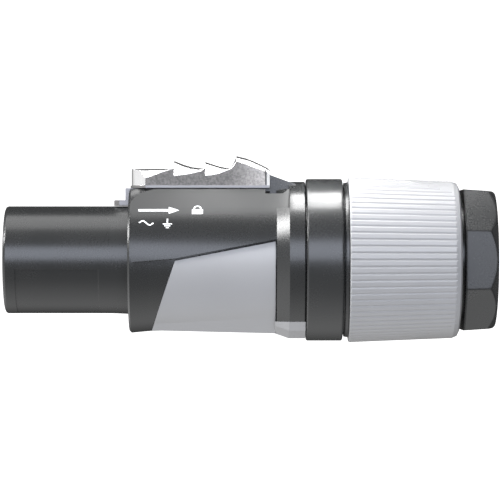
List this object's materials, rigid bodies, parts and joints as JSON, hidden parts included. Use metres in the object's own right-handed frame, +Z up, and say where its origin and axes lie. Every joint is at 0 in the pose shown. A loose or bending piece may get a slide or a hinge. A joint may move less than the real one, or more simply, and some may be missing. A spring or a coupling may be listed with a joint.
{
  "type": "twist-lock power connector",
  "caption": "Round cable-end power connector with a twist-lock mating barrel, a sprung slide latch on top, a ribbed gland nut and a chuck that grips the cable.",
  "frame": {"origin": "on the connector's axis, midway along the mating barrel", "axes": "+X along the axis from the mating end to the cable end, +Z up to the slide latch, Y across"},
  "size_m": [0.0898, 0.0304, 0.0343],
  "materials": {
    "dark_plastic": "satin moulded",
    "light_plastic": "satin moulded",
    "cast_metal": "die-cast, polished on top",
    "spring_steel": "drawn wire",
    "insert_plastic": "moulded",
    "contact_metal": "silver plated",
    "clamp_brass": "plain",
    "screw_steel": "zinc plated",
    "chuck_plastic": "natural moulded"
  },
  "bodies": {
    "housing": {"front_housing": "dark_plastic", "underside_cover": "light_plastic", "contact_insert": "insert_plastic", "terminal_cover": "insert_plastic", "line_contact": "contact_metal", "neutral_contact": "contact_metal", "earth_contact": "contact_metal", "line_clamp": "clamp_brass", "neutral_clamp": "clamp_brass", "earth_clamp": "clamp_brass", "clamp_screws": "screw_steel", "latch_spring": "spring_steel"},
    "latch": {"locking_latch": "cast_metal"},
    "chuck": {"cable_chuck": "chuck_plastic"},
    "nut": {"gland_nut": "dark_plastic", "grip_sleeve": "light_plastic"}
  },
  "joints": [
    {"name": "latch_slide", "type": "slide", "parent": "housing", "child": "latch", "axis": [1, 0, 0], "range_m": [0, 0.003], "stiffness_N_per_m": 300, "springref_m": -0.004, "deforming": ["latch_spring"]},
    {"name": "nut_advance", "type": "slide", "parent": "housing", "child": "chuck", "axis": [1, 0, 0], "range_m": [0, 0.01]},
    {"name": "nut_turn", "type": "hinge", "parent": "chuck", "child": "nut", "pos_m": [0.05, 0, 0], "axis": [1, 0, 0], "range_deg": [0, 1440]}
  ],
  "couplings": [
    {"joint": "nut_turn", "follows": "nut_advance", "rad_per_m": 2513.2}
  ]
}
